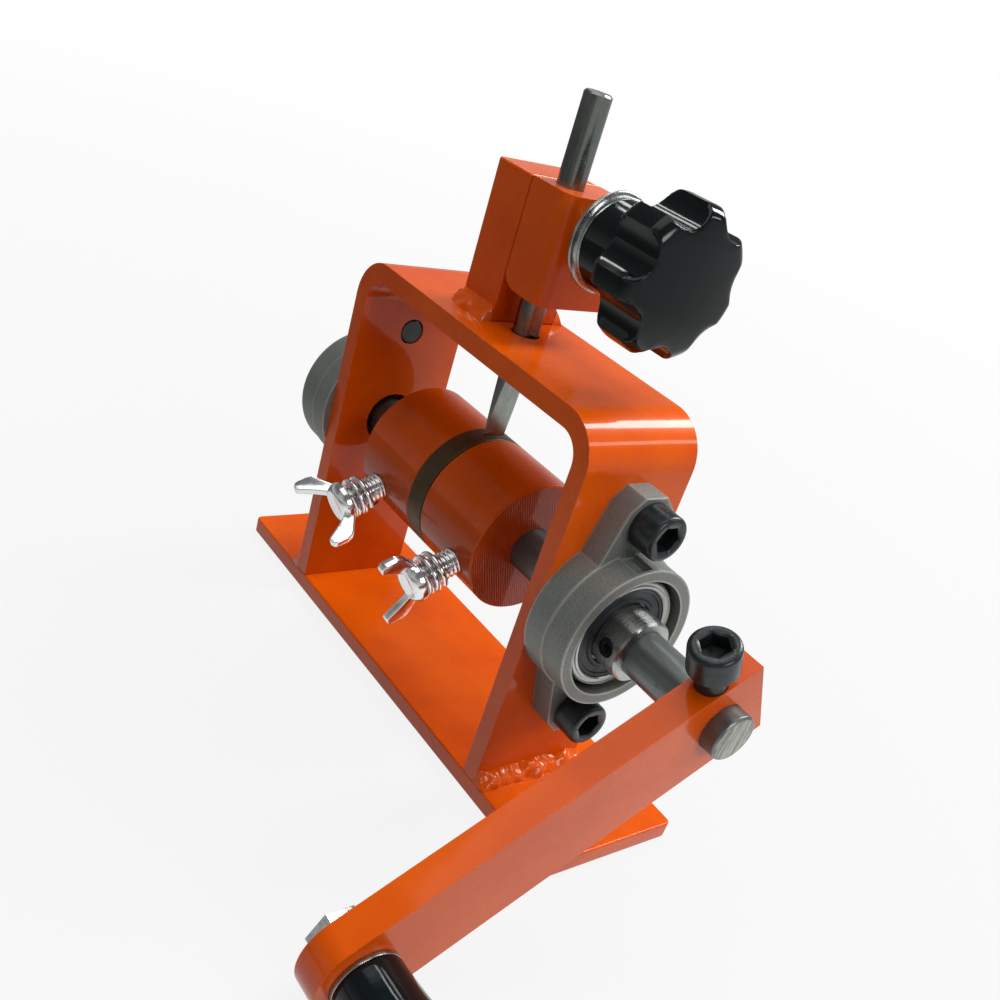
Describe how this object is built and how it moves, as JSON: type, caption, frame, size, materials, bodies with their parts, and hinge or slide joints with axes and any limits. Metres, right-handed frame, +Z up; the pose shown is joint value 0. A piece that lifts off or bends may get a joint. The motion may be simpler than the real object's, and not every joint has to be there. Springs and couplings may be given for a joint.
{
  "type": "hand crank wire stripper",
  "caption": "Bench tool that slits cable insulation: a hand crank turns a feed wheel between locking sleeves under a clamped blade rod, all in a bent bar frame on a flat base.",
  "frame": {"origin": "on the table, under the middle of the frame's width and under the shaft's axis", "axes": "+X along the shaft towards the crank, -Y towards the operator's side where the wing screws and the crank's handle are at rest, +Z up"},
  "size_m": [0.2103, 0.0982, 0.1347],
  "materials": {
    "orange_paint": "glossy orange enamel",
    "cast_housing": "fine grained casting",
    "bearing_steel": "ground and polished",
    "seal_rubber": "satin",
    "black_steel": "black oxide",
    "shaft_steel": "dark drawn steel",
    "wheel_steel": "dark brown oxide",
    "zinc_plate": "bright zinc plate",
    "bright_plate": "bright nickel plate",
    "blade_steel": "ground tool steel",
    "black_plastic": "polished"
  },
  "bodies": {
    "stand": {"base_plate": "orange_paint", "u_frame": "orange_paint", "frame_welds": "orange_paint", "clamp_post": "orange_paint", "post_welds": "orange_paint", "clamp_block": "orange_paint", "left_housing": "cast_housing", "right_housing": "cast_housing", "left_outer_ring": "bearing_steel", "right_outer_ring": "bearing_steel", "left_seals": "seal_rubber", "right_seals": "seal_rubber", "left_flange_screws": "black_steel", "right_flange_screws": "black_steel"},
    "rotor": {"shaft": "shaft_steel", "feed_wheel": "wheel_steel", "left_inner_ring": "bearing_steel", "right_inner_ring": "bearing_steel", "left_ring_screw": "black_steel", "right_ring_screw": "black_steel", "crank_arm": "orange_paint", "arm_screw": "black_steel", "handle_pin": "zinc_plate", "handle_washer": "zinc_plate", "handle_nut": "zinc_plate"},
    "left_sleeve_body": {"left_sleeve": "orange_paint"},
    "right_sleeve_body": {"right_sleeve": "orange_paint"},
    "left_wing_body": {"left_wing_screw": "zinc_plate", "left_spring": "zinc_plate"},
    "right_wing_body": {"right_wing_screw": "zinc_plate", "right_spring": "zinc_plate"},
    "left_ball_train": {"left_balls": "bearing_steel", "left_cage": "bearing_steel"},
    "right_ball_train": {"right_balls": "bearing_steel", "right_cage": "bearing_steel"},
    "blade": {"blade_rod": "blade_steel"},
    "knob": {"knob_stud": "zinc_plate", "knob_collar": "bright_plate", "star_knob": "black_plastic"},
    "grip": {"handle_grip": "black_plastic"}
  },
  "joints": [
    {"name": "crank_turn", "type": "hinge", "parent": "stand", "child": "rotor", "pos_m": [0, 0, 0.049], "axis": [1, 0, 0], "continuous": true},
    {"name": "left_sleeve_slide", "type": "slide", "parent": "rotor", "child": "left_sleeve_body", "axis": [-1, 0, 0], "range_m": [0, 0.01]},
    {"name": "right_sleeve_slide", "type": "slide", "parent": "rotor", "child": "right_sleeve_body", "axis": [1, 0, 0], "range_m": [0, 0.01]},
    {"name": "left_wing_turn", "type": "hinge", "parent": "left_sleeve_body", "child": "left_wing_body", "pos_m": [-0.0172, 0, 0.049], "axis": [0, -0.9135, -0.4067], "range_deg": [-180, 180]},
    {"name": "right_wing_turn", "type": "hinge", "parent": "right_sleeve_body", "child": "right_wing_body", "pos_m": [0.0146, 0, 0.049], "axis": [0, -0.9135, -0.4067], "range_deg": [-180, 180]},
    {"name": "left_ball_train_turn", "type": "hinge", "parent": "stand", "child": "left_ball_train", "pos_m": [-0.0487, 0, 0.049], "axis": [1, 0, 0], "continuous": true},
    {"name": "right_ball_train_turn", "type": "hinge", "parent": "stand", "child": "right_ball_train", "pos_m": [0.0487, 0, 0.049], "axis": [1, 0, 0], "continuous": true},
    {"name": "blade_slide", "type": "slide", "parent": "stand", "child": "blade", "axis": [0, 0, 1], "range_m": [0, 0.016]},
    {"name": "knob_turn", "type": "hinge", "parent": "stand", "child": "knob", "pos_m": [0.014, 0.0006, 0.112], "axis": [1, 0, 0], "range_deg": [-180, 180]},
    {"name": "grip_spin", "type": "hinge", "parent": "rotor", "child": "grip", "pos_m": [0.0813, -0.06495, 0.0115], "axis": [1, 0, 0], "continuous": true}
  ],
  "couplings": [
    {"joint": "left_ball_train_turn", "follows": "crank_turn", "ratio": 0.3737},
    {"joint": "right_ball_train_turn", "follows": "crank_turn", "ratio": 0.3737}
  ]
}
